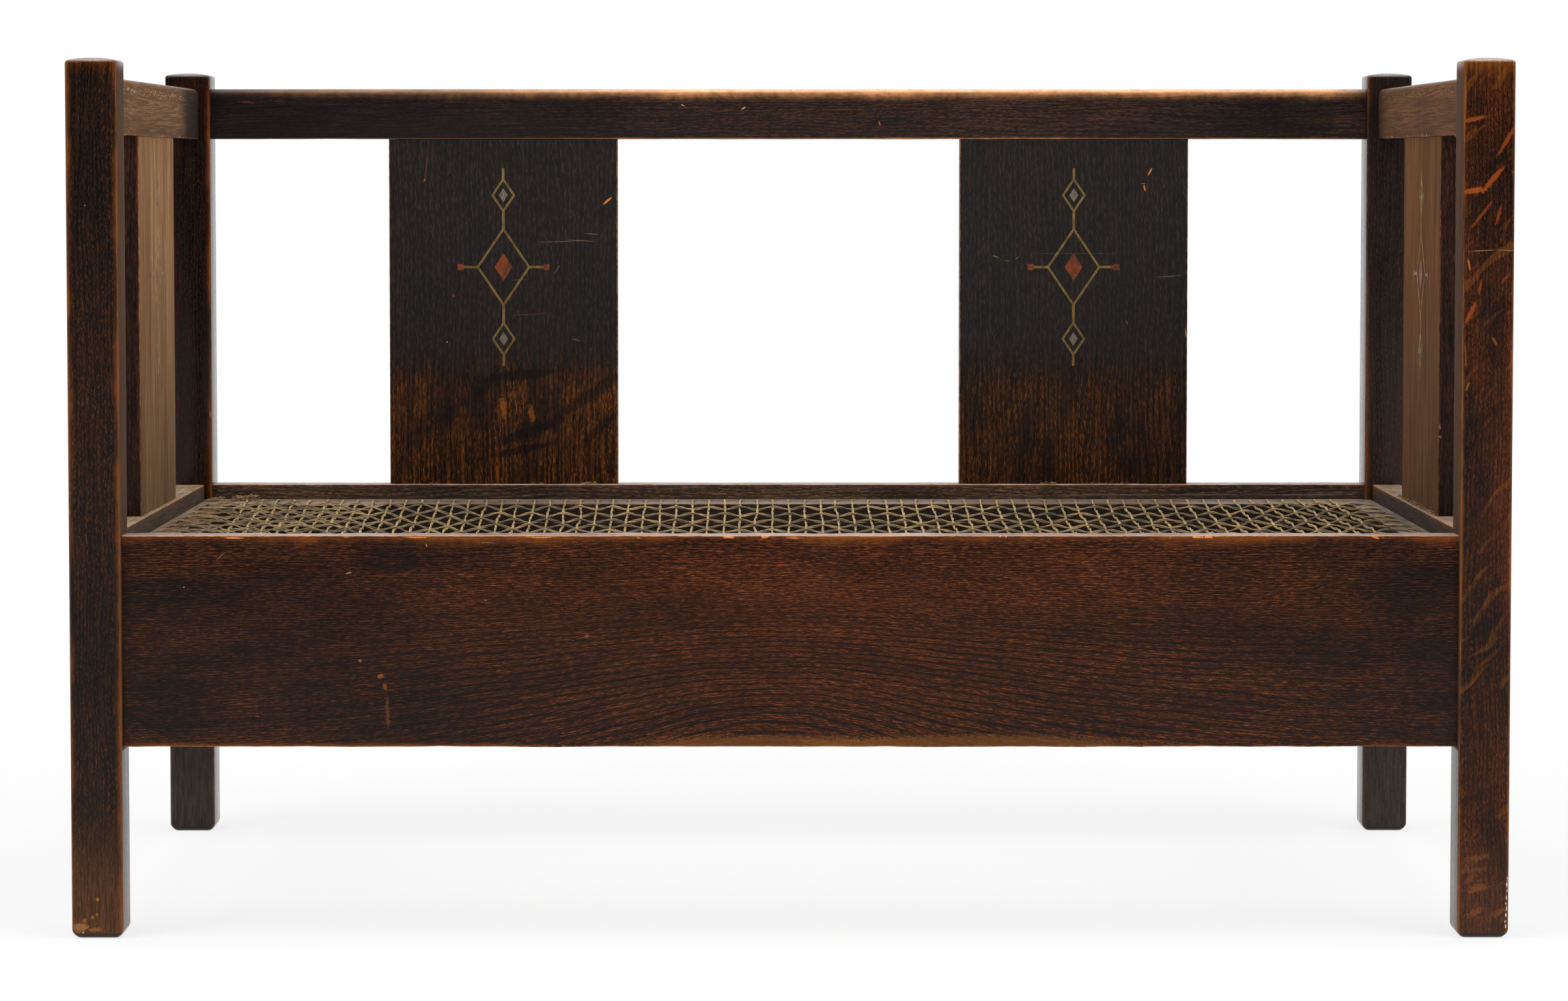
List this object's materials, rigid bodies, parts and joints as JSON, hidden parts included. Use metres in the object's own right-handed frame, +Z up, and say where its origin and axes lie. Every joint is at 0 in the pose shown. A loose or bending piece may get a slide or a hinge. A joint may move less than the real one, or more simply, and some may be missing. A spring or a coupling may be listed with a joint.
{
  "type": "settle",
  "caption": "Low two-seat settle: arms and back of one height, wide inlaid slats in the back and under each arm, and a loose seat frame strung with woven cord.",
  "frame": {"origin": "on the floor, under the middle of the settle's width and depth", "axes": "+X along the settle to the sitter's left, the right in a view from the front; +Y from front to back; +Z up"},
  "size_m": [1.245, 0.66, 0.762],
  "materials": {
    "dark_oak": "near-black brown stain, worn to orange-brown at the edges",
    "cleat_wood": "unfinished, aged",
    "seat_wood": "unfinished, dusty",
    "seat_cord": "two-ply twisted fibre, matt",
    "brass_inlay": "aged satin",
    "copper_inlay": "aged satin",
    "pewter_inlay": "aged satin",
    "screw_steel": "dull, slotted"
  },
  "bodies": {
    "settle_frame": {"post_front_left": "dark_oak", "post_front_right": "dark_oak", "post_back_left": "dark_oak", "post_back_right": "dark_oak", "seat_rail_front": "dark_oak", "seat_rail_back": "dark_oak", "seat_rail_left": "dark_oak", "seat_rail_right": "dark_oak", "crest_rail": "dark_oak", "arm_rail_left": "dark_oak", "arm_rail_right": "dark_oak", "back_slat_left": "dark_oak", "back_slat_right": "dark_oak", "side_slat_left": "dark_oak", "side_slat_right": "dark_oak", "inlay_brass_back_slat_left": "brass_inlay", "inlay_brass_back_slat_right": "brass_inlay", "inlay_brass_side_slat_left": "brass_inlay", "inlay_brass_side_slat_right": "brass_inlay", "inlay_copper_back_slat_left": "copper_inlay", "inlay_copper_back_slat_right": "copper_inlay", "inlay_copper_side_slat_left": "copper_inlay", "inlay_copper_side_slat_right": "copper_inlay", "inlay_pewter_back_slat_left": "pewter_inlay", "inlay_pewter_back_slat_right": "pewter_inlay", "inlay_pewter_side_slat_left": "pewter_inlay", "inlay_pewter_side_slat_right": "pewter_inlay", "cleat_front": "cleat_wood", "cleat_back": "cleat_wood", "cleat_left": "cleat_wood", "cleat_right": "cleat_wood", "cleat_screws": "screw_steel"},
    "loose_seat": {"seat_frame_front": "seat_wood", "seat_frame_back": "seat_wood", "seat_frame_left": "seat_wood", "seat_frame_right": "seat_wood", "seat_webbing": "seat_cord"}
  },
  "joints": [
    {"name": "seat_lift", "type": "slide", "parent": "settle_frame", "child": "loose_seat", "axis": [0, 0, 1], "range_m": [0, 0.45]}
  ]
}
